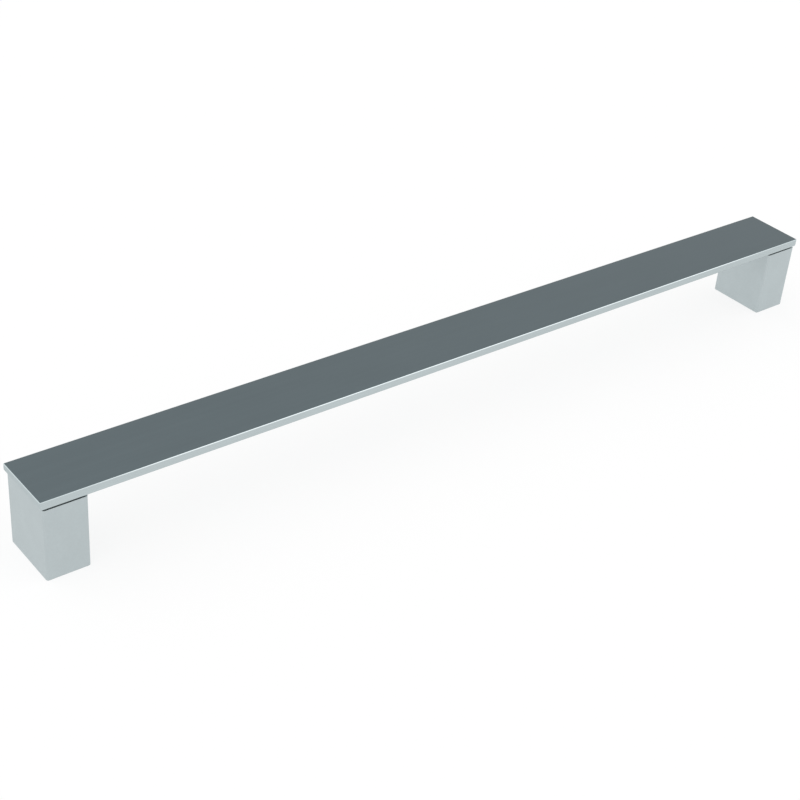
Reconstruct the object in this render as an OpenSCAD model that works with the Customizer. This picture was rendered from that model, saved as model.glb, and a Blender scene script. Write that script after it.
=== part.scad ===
// A furniture pull: a flat aluminium bar on two cast feet, each held to it by two screws from inside.
// X runs along the bar, Y across it and Z away from the door. The origin is the middle of the
// mounting plane, where both feet stand.

/* [Handle] */
// Distance between the two mounting holes
hole_spacing = 320; // [96:32:480]
// Height of the bar's top face above the door
handle_height = 30; // [26:0.5:45]

/* [Bar] */
// Width of the bar
bar_width = 24; // [23:0.5:34]
// Thickness of the bar
bar_thickness = 3; // [2.8:0.1:5]
// Rounding along the bar's four long edges
bar_edge_round = 0.3; // [0.15:0.05:0.8]
// Chamfer round each sawn end of the bar, apart from its lower edge
bar_end_chamfer = 0.25; // [0.1:0.05:0.5]
// Chamfer on the lower edge of each end, which leads back to the foot
bar_under_chamfer = 0.8; // [0.1:0.1:1.2]

/* [Feet] */
// Length of a foot along the bar
foot_length = 15; // [13:0.5:24]
// How far the feet stand back from the bar's front and back
foot_inset = 0.1; // [0.05:0.05:0.6]
// How far the bar reaches past the feet at its ends
end_overhang = 0.9; // [0.1:0.1:3]
// Rounding of a foot's four upright edges
foot_corner_round = 0.8; // [0.5:0.1:1.5]
// Thickness of a foot's side walls at the base
foot_wall = 1.6; // [1.2:0.1:1.8]
// Thickness of a foot's top, which the bar lies on
foot_deck = 2.4; // [1.8:0.1:3]
// Taper of the walls, boss and webs inside a foot, in degrees
draft_angle = 0.75; // [0.25:0.25:1]
// Rounding of the upright corners inside a foot
pocket_round = 1; // [0.5:0.1:1.5]
// Chamfer round the foot's base
base_chamfer = 0.2; // [0.1:0.05:0.4]

/* [Shadow gap] */
// Height of the dark gap that runs round a foot, between it and the bar
gap_height = 0.5; // [0.3:0.1:1]
// How far the gap reaches in from the foot's sides
gap_depth = 1.6; // [0.8:0.1:2.4]

/* [Mounting boss] */
// Tapping diameter of the M4 mounting hole
mount_hole_diameter = 3.3; // [3.2:0.05:3.5]
// Depth of the full thread
mount_hole_depth = 18; // [10:1:20]
// Countersink at the mouth of the mounting hole, measured on the radius
mount_countersink = 0.5; // [0.2:0.1:0.8]
// Diameter of the boss at its free end
boss_diameter = 6.2; // [5.6:0.1:6.6]
// How far the boss stops short of the door, so that the rim pulls up tight
boss_recess = 0.3; // [0.1:0.1:0.8]
// Fillet where the boss meets the deck
boss_fillet = 0.4; // [0.2:0.1:0.5]
// Thickness of the webs between the boss and the end walls, at the base
web_thickness = 1.6; // [1:0.1:2.2]
// How far the webs stop short of the door
web_recess = 1.5; // [0.5:0.5:8]

/* [Bar screws] */
// Thread diameter of the screws that hold the bar
screw_diameter = 3; // [2.5:0.5:3]
// Clearance round a screw where it passes through the deck
screw_clearance = 0.2; // [0.1:0.05:0.3]
// Diameter of a screw's head
head_diameter = 5.5; // [4.5:0.1:5.6]
// Height of a screw's head
head_height = 2; // [1.6:0.1:2.6]
// Rounding of the head's rim
head_round = 0.6; // [0.3:0.1:1]
// Width across the arms of the cross recess
recess_width = 3; // [2.4:0.1:3.4]
// Depth of the cross recess
recess_depth = 1.3; // [0.8:0.1:1.4]
// Thickness of one arm of the cross recess
recess_arm = 0.7; // [0.5:0.1:1]
// Height of the raised seat under each head
seat_height = 0.5; // [0.5:0.1:1]
// Width of the seat's ledge round the head
seat_ledge = 0.2; // [0.1:0.05:0.3]
// Metal left between a screw hole and the bar's top face
bar_skin = 0.9; // [0.7:0.1:1.2]
// Room between a screw's tip and the end of its hole
tip_room = 0.3; // [0.1:0.1:0.5]

/* [Hidden] */
$fn = 48;

// Number of facets on the inner pocket's round corners
pocket_facets = 32;
// Half the point angle of a twist drill
drill_half_angle = 59;
// Overlap that carries a cut or a joint past the face that it meets
over = 0.5;

foot_x = hole_spacing / 2;
foot_width = bar_width - 2 * foot_inset;
foot_height = handle_height - bar_thickness;
bar_length = hole_spacing + foot_length + 2 * end_overhang;

deck_z = foot_height - foot_deck;
seat_z = deck_z - seat_height;
draft = tan(draft_angle);

mount_hole_r = mount_hole_diameter / 2;
boss_r = boss_diameter / 2;
boss_root_r = boss_r + (deck_z - boss_recess) * draft;

screw_r = screw_diameter / 2;
head_r = head_diameter / 2;
seat_r = head_r + seat_ledge;
screw_tip_z = handle_height - bar_skin - tip_room;
// The screws sit midway between the boss and the pocket's end, measured at the deck
pocket_end_y = foot_width / 2 - foot_wall - deck_z * draft;
screw_y = (boss_root_r + pocket_end_y) / 2;

// A rectangle about the origin with true round corners
module round_rect(size, r) {
    square([size.x - 2 * r, size.y], center = true);
    square([size.x, size.y - 2 * r], center = true);
    for (x = [-1, 1], y = [-1, 1])
        translate([x * (size.x / 2 - r), y * (size.y / 2 - r)]) circle(r);
}

// A hole as a drill leaves it: z = 0 is its mouth, and the point lies past the stated depth
module drilled_hole(r, depth) {
    translate([0, 0, -over]) cylinder(r = r, h = depth + over);
    translate([0, 0, depth]) cylinder(r1 = r, r2 = 0, h = r / tan(drill_half_angle));
}

// Places its children at the two screws of the foot at x
module at_screws(x) {
    for (y = [-1, 1]) translate([x, y * screw_y, 0]) children();
}

// A square prism along Z whose corner cuts a chamfer of the given width from an edge on its axis
module chamfer_cut(width, length) {
    rotate(45) cube([width * sqrt(2), width * sqrt(2), length + 2 * over], center = true);
}

// The extruded strip, with every edge at the sawn ends chamfered
module bar_blank() {
    end_x = bar_length / 2;
    middle_z = handle_height - bar_thickness / 2;
    difference() {
        translate([-end_x, 0, middle_z]) rotate([90, 0, 90])
            linear_extrude(bar_length) round_rect([bar_width, bar_thickness], bar_edge_round);
        for (x = [-end_x, end_x]) {
            translate([x, 0, handle_height]) rotate([90, 0, 0])
                chamfer_cut(bar_end_chamfer, bar_width);
            translate([x, 0, foot_height]) rotate([90, 0, 0])
                chamfer_cut(bar_under_chamfer, bar_width);
            for (y = [-bar_width / 2, bar_width / 2])
                translate([x, y, middle_z]) chamfer_cut(bar_end_chamfer, bar_thickness);
        }
    }
}

// The bar with the four blind screw holes in its underside
module bar() {
    color([0.42, 0.46, 0.48]) difference() {
        bar_blank();
        for (x = [-foot_x, foot_x]) at_screws(x)
            translate([0, 0, foot_height - over])
                cylinder(r = screw_r, h = bar_thickness - bar_skin + over);
    }
}

// An upright block with true round corners and a chamfer round its base
module chamfered_block(size, h, r, chamfer) {
    translate([0, 0, chamfer]) linear_extrude(h - chamfer) round_rect(size, r);
    for (turn = [0, 90]) {
        along = turn == 0 ? size.x : size.y;
        across = turn == 0 ? size.y : size.x;
        rotate([90, 0, turn]) linear_extrude(across - 2 * r, center = true) polygon([
            [chamfer - along / 2, 0], [along / 2 - chamfer, 0],
            [along / 2, chamfer], [-along / 2, chamfer]
        ]);
    }
    for (x = [-1, 1], y = [-1, 1])
        translate([x * (size.x / 2 - r), y * (size.y / 2 - r), 0])
            cylinder(r1 = r - chamfer, r2 = r, h = chamfer);
}

// Outside of a foot: the block, and the smaller pad on it that leaves the shadow gap under the bar
module foot_block() {
    size = [foot_length, foot_width];
    pad_size = [foot_length - 2 * gap_depth, foot_width - 2 * gap_depth];
    body_height = foot_height - gap_height;
    chamfered_block(size, body_height, foot_corner_round, base_chamfer);
    translate([0, 0, body_height - over])
        linear_extrude(gap_height + over) round_rect(pad_size, foot_corner_round);
}

// The drafted hollow, open at the base
module pocket() {
    corner = [
        foot_length / 2 - foot_wall - pocket_round,
        foot_width / 2 - foot_wall - pocket_round
    ];
    shift = deck_z * draft;
    hull()
        for (x = [-1, 1], y = [-1, 1]) {
            translate([x * (corner.x + over * draft), y * (corner.y + over * draft), -over])
                cylinder(r = pocket_round, h = over / 10, $fn = pocket_facets);
            translate([x * (corner.x - shift), y * (corner.y - shift), deck_z - over / 10])
                cylinder(r = pocket_round, h = over / 10, $fn = pocket_facets);
        }
}

// Tapered boss, fillet at its root, and a web to each end wall
module boss() {
    web_base = web_thickness / 2;
    web_root = web_base + (deck_z - web_recess) * draft;
    translate([0, 0, boss_recess])
        cylinder(r1 = boss_r, r2 = boss_root_r, h = deck_z - boss_recess);
    translate([0, 0, deck_z - over]) cylinder(r = boss_root_r, h = 2 * over);
    translate([0, 0, deck_z]) rotate_extrude() difference() {
        translate([0, -boss_fillet]) square([boss_root_r + boss_fillet, boss_fillet + over]);
        translate([boss_root_r + boss_fillet, -boss_fillet]) circle(boss_fillet);
    }
    translate([-foot_length / 2 + foot_wall / 2, 0, 0]) rotate([90, 0, 90])
        linear_extrude(foot_length - foot_wall) polygon([
            [-web_base, web_recess], [web_base, web_recess],
            [web_root, deck_z], [web_root, deck_z + over],
            [-web_root, deck_z + over], [-web_root, deck_z]
        ]);
}

// One cast foot about the origin
module foot() {
    color([0.74, 0.77, 0.78]) difference() {
        union() {
            difference() {
                foot_block();
                pocket();
            }
            boss();
            at_screws(0) translate([0, 0, seat_z])
                cylinder(r = seat_r, h = seat_height + over);
        }
        translate([0, 0, boss_recess]) {
            drilled_hole(mount_hole_r, mount_hole_depth);
            translate([0, 0, -over]) cylinder(
                r1 = mount_hole_r + mount_countersink + over, r2 = mount_hole_r,
                h = mount_countersink + over
            );
        }
        at_screws(0) translate([0, 0, seat_z - over])
            cylinder(r = screw_r + screw_clearance, h = foot_height);
    }
}

// A pan head screw at the origin of its head's underside, pointing up
module screw() {
    color([0.62, 0.63, 0.65]) difference() {
        union() {
            cylinder(r = screw_r, h = screw_tip_z - seat_z);
            rotate_extrude() difference() {
                translate([0, -head_height]) square([head_r, head_height]);
                translate([head_r - head_round, -head_height]) difference() {
                    translate([0, -over]) square([head_round + over, head_round + over]);
                    translate([0, head_round]) circle(head_round);
                }
            }
        }
        for (turn = [0, 90]) rotate(turn)
            translate([-recess_width / 2, -recess_arm / 2, -head_height - over])
                cube([recess_width, recess_arm, recess_depth + over]);
    }
}

// The screw on one side of a foot: end is -1 for left and 1 for right, side is -1 for front
module bar_screw(end, side) {
    translate([end * foot_x, side * screw_y, seat_z]) screw();
}

bar();
translate([-foot_x, 0, 0]) foot();  // left_foot
translate([foot_x, 0, 0]) foot();  // right_foot
bar_screw(-1, -1);  // left_front_screw
bar_screw(-1, 1);  // left_back_screw
bar_screw(1, -1);  // right_front_screw
bar_screw(1, 1);  // right_back_screw
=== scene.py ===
"""A furniture pull in satin aluminium: a flat bar on two cast feet, on a plain white floor.

Lengths are in metres, in the frame of the CAD: X along the bar, Y across it, Z away from the door.
"""

import math

import bmesh
import bpy
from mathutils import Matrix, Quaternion, Vector


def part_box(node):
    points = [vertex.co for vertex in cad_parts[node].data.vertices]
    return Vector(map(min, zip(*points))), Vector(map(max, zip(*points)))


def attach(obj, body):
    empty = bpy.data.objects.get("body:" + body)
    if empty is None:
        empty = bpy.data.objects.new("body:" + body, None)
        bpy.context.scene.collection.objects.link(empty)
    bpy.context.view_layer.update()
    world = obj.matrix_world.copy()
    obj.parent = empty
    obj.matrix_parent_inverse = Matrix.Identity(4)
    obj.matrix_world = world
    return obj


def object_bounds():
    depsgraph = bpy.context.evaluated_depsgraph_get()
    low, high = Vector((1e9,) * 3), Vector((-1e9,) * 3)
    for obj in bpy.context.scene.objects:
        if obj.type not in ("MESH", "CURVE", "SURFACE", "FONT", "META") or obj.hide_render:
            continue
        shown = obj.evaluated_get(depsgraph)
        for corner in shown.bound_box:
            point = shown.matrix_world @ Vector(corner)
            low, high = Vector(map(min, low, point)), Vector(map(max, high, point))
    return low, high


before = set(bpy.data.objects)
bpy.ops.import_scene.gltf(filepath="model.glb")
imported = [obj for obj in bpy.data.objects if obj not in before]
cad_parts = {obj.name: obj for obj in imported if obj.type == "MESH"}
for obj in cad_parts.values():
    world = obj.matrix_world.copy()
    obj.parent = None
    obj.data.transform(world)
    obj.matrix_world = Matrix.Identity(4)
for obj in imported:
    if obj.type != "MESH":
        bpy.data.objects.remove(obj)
cad_low, cad_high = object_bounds()

MM = 0.001
BODY = "root"
FEET = ("left_foot", "right_foot")
SCREWS = ("left_front_screw", "left_back_screw", "right_front_screw", "right_back_screw")

# Camera
CAMERA_PLACE = Vector((-0.3316, -0.3657, 0.3187))
CAMERA_TARGET = Vector((-0.01354, 0.01263, 0.0))
CAMERA_ROLL = math.radians(4.78)
CAMERA_LENS = 72.55
CAMERA_SENSOR = 36.0
CAMERA_NEAR = 10 * MM

# Light: an up-facing white surface gets a brightness of about 1 from the sky and the lamps together.
# Each lamp has a name, its share of that, the side it shines from and the angle it spreads over.
SKY_SHARE = 0.72
LAMPS = (
    ("key", 0.1, Vector((0.62, -0.58, 0.53)), math.radians(70)),
    ("fill", 0.18, Vector((-0.75, 0.4, 0.5)), math.radians(120)),
)

# Floor: the length of its sides, the share of light that it throws back on the object, and the share of
# plain white in its look, which softens the shadow
FLOOR_SIZE = 8.0
FLOOR_BOUNCE = 0.8
FLOOR_GLOW = 0.8

# Colours, as red, green and blue from 0 to 255
LIGHT_METAL = (187, 197, 199)
# Painted highlight on the bar's long top edges
PAINTED_EDGE_HIGHLIGHT = (216, 225, 227)
# Painted dark reflection on the bar's top face
PAINTED_DARK_REFLECTION = (97, 108, 112)
FOOT_METAL = (186, 195, 197)
CAST_METAL = (176, 183, 186)
ZINC_PLATE = (168, 171, 176)
TAPPED_METAL = (150, 155, 158)
WHITE = (1.0, 1.0, 1.0, 1.0)

# Noise: its roughness, its detail where it is plain or fine, and the range that most of it lies in
NOISE_ROUGHNESS = 0.55
PLAIN_DETAIL = 2.0
FINE_DETAIL = 3.0
NOISE_LOW = 0.3
NOISE_HIGH = 0.7

# Places of the colour mix node's sockets
MIX_FACTOR = 0
MIX_FIRST = 6
MIX_SECOND = 7
MIX_RESULT = 2

# Bar: the length in X, Y and Z of its fine lines, streaks and clouds, and of the lines on its sawn ends
BAR_LINES = (40 * MM, 0.16 * MM, 0.16 * MM)
BAR_STREAKS = (90 * MM, 1.8 * MM, 1.8 * MM)
BAR_CLOUDS = (35 * MM, 14 * MM, 14 * MM)
SAW_LINES = (0.16 * MM, 9 * MM, 0.12 * MM)

# How much the first three change its shade, how deep both kinds of line are, and its roughness as the fine
# lines give it, with what the streaks and the sawn ends add
BAR_LINES_SHADE = 0.02
BAR_STREAKS_SHADE = 0.012
BAR_CLOUDS_SHADE = 0.012
BAR_LINES_DEPTH = 0.0015 * MM
SAW_LINES_DEPTH = 0.003 * MM
BAR_ROUGHNESS = (0.3, 0.36)
BAR_STREAKS_ROUGHNESS = (-0.01, 0.01)
SAWN_ROUGHER = 0.2

# Brightness that the anodised bar keeps where it is seen at a flat angle
EDGE_GLOSS = (0.8, 0.8, 0.8, 1.0)

# Depth below the bar's top face over which its painted dark reflection ends
DARK_EDGE_START = 0.03 * MM
DARK_EDGE_END = 0.07 * MM

# The bar's long top edges carry a painted highlight: how wide that is, and how far from the ends it fades
BRIGHT_EDGE = 0.3 * MM
BRIGHT_EDGE_SOFT = 0.1 * MM
BRIGHT_FADE_START = 50 * MM
BRIGHT_FADE_END = 5 * MM

# How far in from the bar's ends their rougher sawn finish reaches
SAWN_END = 0.36 * MM
SAWN_END_SOFT = 0.06 * MM

# The foot's satin finish goes this deep into its wall and this high up its rim, and the rest is bare casting
FINISH_DEPTH = 1.5 * MM
FINISH_DEPTH_SOFT = 0.05 * MM
FINISH_RISE = 0.1 * MM

# Foot: the size of its grain, skin and clouds, how much they change its shade, how deep the first two are,
# and its roughness, with what the bare casting adds
FOOT_GRAIN = (0.22 * MM, 0.22 * MM, 0.22 * MM)
FOOT_SKIN = (0.9 * MM, 0.9 * MM, 0.9 * MM)
FOOT_CLOUDS = (7 * MM, 7 * MM, 7 * MM)
FOOT_GRAIN_SHADE = 0.012
FOOT_SKIN_SHADE = 0.01
FOOT_CLOUDS_SHADE = 0.012
FOOT_GRAIN_DEPTH = 0.003 * MM
FOOT_SKIN_DEPTH = 0.004 * MM
FOOT_ROUGHNESS = (0.48, 0.54)
CAST_ROUGHER = 0.12

# Screws: the size of the grain and the bloom of their plate, its shade, depth and roughness
PLATE_GRAIN = (0.1 * MM, 0.1 * MM, 0.1 * MM)
PLATE_BLOOM = (1.3 * MM, 1.3 * MM, 1.3 * MM)
PLATE_BLOOM_SHADE = 0.015
PLATE_GRAIN_DEPTH = 0.0015 * MM
PLATE_ROUGHNESS = (0.27, 0.33)

# Thread: the length in X, Y and Z of its cut lines, and their shade, depth and roughness
CUT_LINES = (0.5 * MM, 0.5 * MM, 0.06 * MM)
CUT_LINES_SHADE = 0.05
CUT_LINES_DEPTH = 0.002 * MM
CUT_LINES_ROUGHNESS = (0.22, 0.34)

# M4 coarse thread in the mounting holes. Its ridge has its base sunk a little into the hole's wall.
THREAD_PITCH = 0.7 * MM
THREAD_HALF_BASE = 0.42 * THREAD_PITCH
THREAD_HALF_CREST = 0.08 * THREAD_PITCH
THREAD_HOLE_R = 1.65 * MM
THREAD_SINK = 0.02 * MM
THREAD_BASE_R = THREAD_HOLE_R + THREAD_SINK
THREAD_CREST_R = 1.54 * MM
THREAD_START = 0.95 * MM
THREAD_END = 17.9 * MM
THREAD_STEPS = 36


def linear(colour):
    """The colour as shader sockets take it, from the sRGB red, green and blue between 0 and 255."""
    parts = []
    for value in colour:
        share = value / 255
        parts.append(share / 12.92 if share <= 0.04045 else ((share + 0.055) / 1.055) ** 2.4)
    return (*parts, 1.0)


def add(tree, kind, inputs=None, **settings):
    """A new node. Each input is given its value, or linked where the value is another node's output."""
    made = tree.nodes.new(kind)
    for name, value in settings.items():
        setattr(made, name, value)
    for name, value in (inputs or {}).items():
        if isinstance(value, bpy.types.NodeSocket):
            tree.links.new(value, made.inputs[name])
        else:
            made.inputs[name].default_value = value
    return made


def math_node(tree, operation, first, second=0.0):
    """The output of a Math node on two values or outputs."""
    return add(tree, "ShaderNodeMath", {0: first, 1: second}, operation=operation).outputs[0]


def remap(tree, value, low, high, to_low, to_high):
    """The value carried smoothly from one range to another, and held at its ends."""
    inputs = {"Value": value, "From Min": low, "From Max": high, "To Min": to_low, "To Max": to_high}
    return add(tree, "ShaderNodeMapRange", inputs, interpolation_type="SMOOTHSTEP").outputs[0]


def mask(tree, value, low, high):
    """0 where the value is below this range, 1 where it is above, and smooth between."""
    return remap(tree, value, low, high, 0.0, 1.0)


def spread(tree, noise, low, high):
    """The noise carried to this range."""
    return remap(tree, noise, NOISE_LOW, NOISE_HIGH, low, high)


def blend(tree, factor, first, second):
    """The output of a colour mix between two colours or outputs."""
    inputs = {MIX_FACTOR: factor, MIX_FIRST: first, MIX_SECOND: second}
    return add(tree, "ShaderNodeMix", inputs, data_type="RGBA").outputs[MIX_RESULT]


def shade(tree, colour, noise, amount):
    """The colour made lighter and darker by the amount, as the noise says."""
    value = spread(tree, noise, 1 - amount, 1 + amount)
    inputs = {"Saturation": 1.0, "Value": value, "Fac": 1.0, "Color": colour}
    return add(tree, "ShaderNodeHueSaturation", inputs).outputs[0]


def noise_at(tree, place, wave, detail=PLAIN_DETAIL):
    """Noise whose features are as long as wave says in X, Y and Z."""
    inputs = {"Vector": place, "Scale": [1 / length for length in wave]}
    scaled = add(tree, "ShaderNodeMapping", inputs, vector_type="POINT").outputs[0]
    inputs = {"Vector": scaled, "Scale": 1.0, "Detail": detail, "Roughness": NOISE_ROUGHNESS}
    return add(tree, "ShaderNodeTexNoise", inputs).outputs["Fac"]


def bump(tree, height, depth, normal=None):
    """A normal that the height raises by up to the depth."""
    inputs = {"Height": height, "Distance": depth, "Strength": 1.0}
    if normal is not None:
        inputs["Normal"] = normal
    return add(tree, "ShaderNodeBump", inputs).outputs[0]


def new_metal(name):
    """A metal material, its node tree, its shader, and the place on the object."""
    material = bpy.data.materials.new(name)
    material.use_nodes = True
    tree = material.node_tree
    shader = tree.nodes["Principled BSDF"]
    shader.inputs["Metallic"].default_value = 1.0
    place = add(tree, "ShaderNodeTexCoord").outputs["Object"]
    return material, tree, shader, place


def split(tree, place):
    """The X, Y and Z of a place."""
    return add(tree, "ShaderNodeSeparateXYZ", {"Vector": place}).outputs


def finish_metal(tree, shader, colour, roughness, normal):
    """Links what drives the shader."""
    tree.links.new(colour, shader.inputs["Base Color"])
    tree.links.new(roughness, shader.inputs["Roughness"])
    tree.links.new(normal, shader.inputs["Normal"])


def beside(tree, reach, edge):
    """1 within the bright edge's width of this edge, and 0 further in."""
    return mask(tree, reach, edge - BRIGHT_EDGE - BRIGHT_EDGE_SOFT, edge - BRIGHT_EDGE)


def edge_highlight_mask(tree, axes, along, corner):
    """1 on the long edges beside the box corner, where a highlight is painted, fading towards the ends and
    to 0 on the rest.
    """
    across = math_node(tree, "ABSOLUTE", axes["Y"])
    near = math_node(tree, "MULTIPLY", beside(tree, across, corner.y), beside(tree, axes["Z"], corner.z))
    fade = remap(tree, along, corner.x - BRIGHT_FADE_START, corner.x - BRIGHT_FADE_END, 1.0, 0.0)
    return math_node(tree, "MULTIPLY", fade, near)


def bar_material():
    """Satin aluminium with fine lengthwise lines, a painted dark reflection on the top face and a painted
    highlight on the long top edges.
    """
    material, tree, shader, place = new_metal("satin_bar")
    axes = split(tree, place)
    along = math_node(tree, "ABSOLUTE", axes["X"])
    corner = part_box("bar")[1]
    lines = noise_at(tree, place, BAR_LINES, FINE_DETAIL)
    streaks = noise_at(tree, place, BAR_STREAKS)
    clouds = noise_at(tree, place, BAR_CLOUDS)
    saw_lines = noise_at(tree, place, SAW_LINES, FINE_DETAIL)
    # The top face is painted dark, a painted reflection of dark surroundings
    dark = mask(tree, axes["Z"], corner.z - DARK_EDGE_END, corner.z - DARK_EDGE_START)
    sawn = mask(tree, along, corner.x - SAWN_END, corner.x - SAWN_END + SAWN_END_SOFT)

    # Painted highlight along the bar's long top edges, fading towards the ends
    painted_highlight = edge_highlight_mask(tree, axes, along, corner)
    colour = blend(tree, painted_highlight, linear(LIGHT_METAL), linear(PAINTED_EDGE_HIGHLIGHT))
    colour = blend(tree, dark, colour, linear(PAINTED_DARK_REFLECTION))
    colour = shade(tree, colour, lines, BAR_LINES_SHADE)
    colour = shade(tree, colour, streaks, BAR_STREAKS_SHADE)
    colour = shade(tree, colour, clouds, BAR_CLOUDS_SHADE)

    roughness = spread(tree, lines, *BAR_ROUGHNESS)
    roughness = math_node(tree, "ADD", roughness, spread(tree, streaks, *BAR_STREAKS_ROUGHNESS))
    roughness = math_node(tree, "ADD", roughness, math_node(tree, "MULTIPLY", sawn, SAWN_ROUGHER))
    normal = bump(tree, lines, BAR_LINES_DEPTH)
    normal = bump(tree, math_node(tree, "MULTIPLY", sawn, saw_lines), SAW_LINES_DEPTH, normal)
    shader.inputs["Specular Tint"].default_value = EDGE_GLOSS
    finish_metal(tree, shader, colour, roughness, normal)
    return material


def bare_casting(tree, axes, node):
    """1 further into the foot than its satin finish goes, and 0 on its outsides and rim."""
    low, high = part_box(node)
    middle_x = (low.x + high.x) / 2
    half_x = (high.x - low.x) / 2
    half_y = (high.y - low.y) / 2
    from_middle = math_node(tree, "ABSOLUTE", math_node(tree, "SUBTRACT", axes["X"], middle_x))
    depth_x = math_node(tree, "SUBTRACT", half_x, from_middle)
    depth_y = math_node(tree, "SUBTRACT", half_y, math_node(tree, "ABSOLUTE", axes["Y"]))
    depth = math_node(tree, "MINIMUM", depth_x, depth_y)
    deep = mask(tree, depth, FINISH_DEPTH - FINISH_DEPTH_SOFT, FINISH_DEPTH + FINISH_DEPTH_SOFT)
    above_rim = mask(tree, axes["Z"], low.z, low.z + FINISH_RISE)
    return math_node(tree, "MULTIPLY", deep, above_rim)


def foot_material(node):
    """Satin finish over a casting, and the bare grainy casting inside the hollow."""
    material, tree, shader, place = new_metal(node + "_satin")
    bare = bare_casting(tree, split(tree, place), node)
    grain = noise_at(tree, place, FOOT_GRAIN, FINE_DETAIL)
    skin = noise_at(tree, place, FOOT_SKIN)
    clouds = noise_at(tree, place, FOOT_CLOUDS)

    colour = blend(tree, bare, linear(FOOT_METAL), linear(CAST_METAL))
    colour = shade(tree, colour, grain, FOOT_GRAIN_SHADE)
    colour = shade(tree, colour, skin, FOOT_SKIN_SHADE)
    colour = shade(tree, colour, clouds, FOOT_CLOUDS_SHADE)

    roughness = spread(tree, grain, *FOOT_ROUGHNESS)
    roughness = math_node(tree, "ADD", roughness, math_node(tree, "MULTIPLY", bare, CAST_ROUGHER))
    normal = bump(tree, grain, FOOT_GRAIN_DEPTH)
    normal = bump(tree, skin, FOOT_SKIN_DEPTH, normal)
    finish_metal(tree, shader, colour, roughness, normal)
    return material


def screw_material():
    """Bright zinc plate with a faint cloudy bloom."""
    material, tree, shader, place = new_metal("zinc_plate")
    grain = noise_at(tree, place, PLATE_GRAIN, FINE_DETAIL)
    bloom = noise_at(tree, place, PLATE_BLOOM)
    colour = shade(tree, linear(ZINC_PLATE), bloom, PLATE_BLOOM_SHADE)
    roughness = spread(tree, bloom, *PLATE_ROUGHNESS)
    normal = bump(tree, grain, PLATE_GRAIN_DEPTH)
    finish_metal(tree, shader, colour, roughness, normal)
    return material


def thread_material():
    """Freshly cut metal, with faint lines round the hole."""
    material, tree, shader, place = new_metal("tapped_thread")
    cuts = noise_at(tree, place, CUT_LINES)
    colour = shade(tree, linear(TAPPED_METAL), cuts, CUT_LINES_SHADE)
    roughness = spread(tree, cuts, *CUT_LINES_ROUGHNESS)
    normal = bump(tree, cuts, CUT_LINES_DEPTH)
    finish_metal(tree, shader, colour, roughness, normal)
    return material


def to_object(mesh, name):
    """The bmesh as an object in the scene."""
    data = bpy.data.meshes.new(name)
    mesh.to_mesh(data)
    mesh.free()
    made = bpy.data.objects.new(name, data)
    bpy.context.scene.collection.objects.link(made)
    return made


def thread_row(mesh, centre_x, step, crest_r):
    """The corners of the thread's ridge at this step of its way up: base, crest, crest and base."""
    angle = 2 * math.pi * step / THREAD_STEPS
    middle = THREAD_START + THREAD_PITCH * step / THREAD_STEPS
    radii = (THREAD_BASE_R, crest_r, crest_r, THREAD_BASE_R)
    rises = (-THREAD_HALF_BASE, -THREAD_HALF_CREST, THREAD_HALF_CREST, THREAD_HALF_BASE)
    row = []
    for radius, rise in zip(radii, rises):
        x = centre_x + radius * math.cos(angle)
        row.append(mesh.verts.new((x, radius * math.sin(angle), middle + rise)))
    return row


def thread_ridge(name, centre_x):
    """The thread in one mounting hole: a sharp ridge that winds up the wall and runs out at both ends."""
    turns = (THREAD_END - THREAD_START) / THREAD_PITCH
    count = int(turns * THREAD_STEPS)
    mesh = bmesh.new()
    rows = []
    for step in range(count + 1):
        fade = min(1.0, step / THREAD_STEPS, (count - step) / THREAD_STEPS)
        crest_r = THREAD_BASE_R + (THREAD_CREST_R - THREAD_BASE_R) * fade
        rows.append(thread_row(mesh, centre_x, step, crest_r))
    for lower, upper in zip(rows, rows[1:]):
        for i in range(len(lower)):
            j = (i + 1) % len(lower)
            mesh.faces.new((lower[i], upper[i], upper[j], lower[j]))
    mesh.faces.new(rows[0])
    mesh.faces.new(rows[-1][::-1])
    bmesh.ops.recalc_face_normals(mesh, faces=mesh.faces)
    return to_object(mesh, name)


def wear(target, material):
    """The object wears this material alone."""
    target.data.materials.clear()
    target.data.materials.append(material)


def dress_nodes():
    """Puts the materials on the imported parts."""
    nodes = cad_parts
    nodes["bar"].material_slots[0].material = bar_material()
    for name in FEET:
        nodes[name].material_slots[0].material = foot_material(name)
    zinc = screw_material()
    for name in SCREWS:
        nodes[name].material_slots[0].material = zinc


def cut_threads():
    """Puts a thread in each foot's mounting hole."""
    material = thread_material()
    for name in FEET:
        low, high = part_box(name)
        ridge = thread_ridge(name + "_thread", (low.x + high.x) / 2)
        wear(ridge, material)
        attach(ridge, BODY)


def seen_directly(tree):
    """1 for rays that come from the camera, or from it by way of gloss or glass, and 0 for the rest."""
    path = add(tree, "ShaderNodeLightPath").outputs
    seen = math_node(tree, "MAXIMUM", path["Is Camera Ray"], path["Is Glossy Ray"])
    return math_node(tree, "MAXIMUM", seen, path["Is Transmission Ray"])


def white_sky():
    """A plain white surround, which lights the object with its share."""
    world = bpy.data.worlds.new("surround")
    world.use_nodes = True
    world.cycles.sampling_method = "NONE"
    bpy.context.scene.world = world
    tree = world.node_tree
    sky = tree.nodes["Background"]
    sky.inputs["Color"].default_value = WHITE
    strength = remap(tree, seen_directly(tree), 0.0, 1.0, SKY_SHARE, 1.0)
    tree.links.new(strength, sky.inputs["Strength"])


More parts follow.
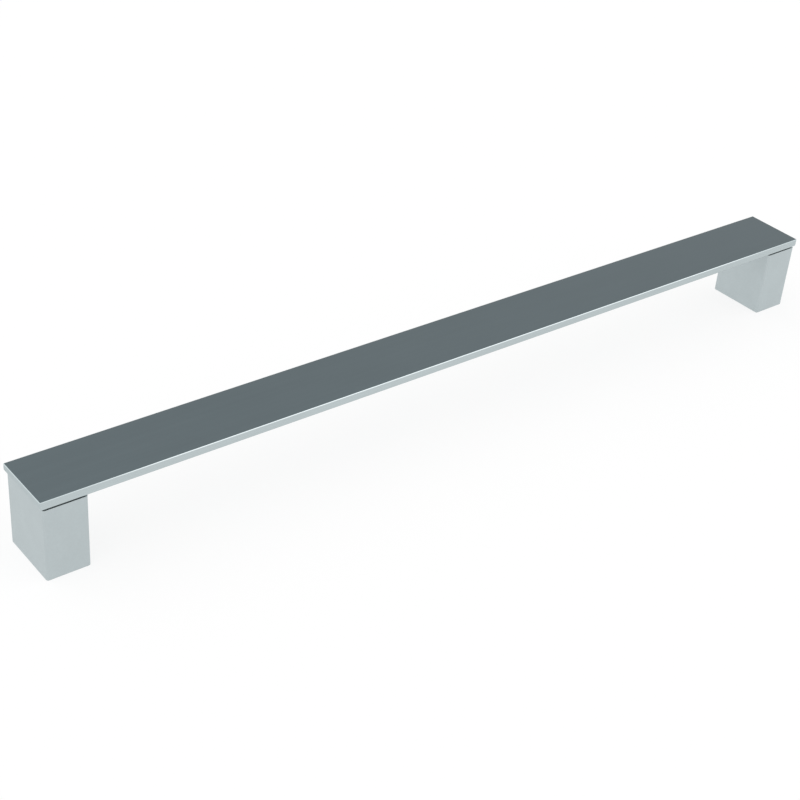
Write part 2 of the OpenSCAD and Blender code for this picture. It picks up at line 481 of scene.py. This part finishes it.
def soft_lamp(name, share, side, spread_angle):
    """One wide, distant lamp."""
    light = bpy.data.lights.new(name, "SUN")
    light.angle = spread_angle
    light.energy = math.pi * share / side.normalized().z
    lamp = bpy.data.objects.new(name, light)
    lamp.rotation_mode = "QUATERNION"
    lamp.rotation_quaternion = side.to_track_quat("Z", "Y")
    bpy.context.scene.collection.objects.link(lamp)


def floor_material():
    """Plain white with a softened shadow where it is seen, and a little darker in what it throws back."""
    material = bpy.data.materials.new("white_floor")
    material.use_nodes = True
    material.cycles.emission_sampling = "NONE"
    tree = material.node_tree
    tree.nodes.remove(tree.nodes["Principled BSDF"])
    seen = seen_directly(tree)
    bounce = (FLOOR_BOUNCE, FLOOR_BOUNCE, FLOOR_BOUNCE, 1.0)
    paint = add(tree, "ShaderNodeBsdfDiffuse", {"Color": blend(tree, seen, bounce, WHITE)}).outputs[0]
    glow = add(tree, "ShaderNodeEmission", {"Color": WHITE, "Strength": 1.0}).outputs[0]
    share = math_node(tree, "MULTIPLY", seen, FLOOR_GLOW)
    mix = add(tree, "ShaderNodeMixShader", {0: share, 1: paint, 2: glow}).outputs[0]
    tree.links.new(mix, tree.nodes["Material Output"].inputs["Surface"])
    return material


def floor():
    """The plain floor under the object."""
    half = FLOOR_SIZE / 2
    mesh = bmesh.new()
    outline = ((-half, -half), (half, -half), (half, half), (-half, half))
    mesh.faces.new([mesh.verts.new((x, y, cad_low.z)) for x, y in outline])
    made = to_object(mesh, "floor")
    wear(made, floor_material())


def camera():
    """The camera, at the photograph's angle."""
    data = bpy.data.cameras.new("camera")
    data.sensor_width = CAMERA_SENSOR
    data.lens = CAMERA_LENS
    data.clip_start = CAMERA_NEAR
    made = bpy.data.objects.new("camera", data)
    made.location = CAMERA_PLACE
    made.rotation_mode = "QUATERNION"
    facing = (CAMERA_TARGET - CAMERA_PLACE).to_track_quat("-Z", "Y")
    made.rotation_quaternion = facing @ Quaternion((0, 0, 1), CAMERA_ROLL)
    bpy.context.scene.collection.objects.link(made)
    bpy.context.scene.camera = made


camera()
dress_nodes()
cut_threads()
floor()
white_sky()
for lamp in LAMPS:
    soft_lamp(*lamp)
bpy.context.scene.view_settings.view_transform = "Standard"
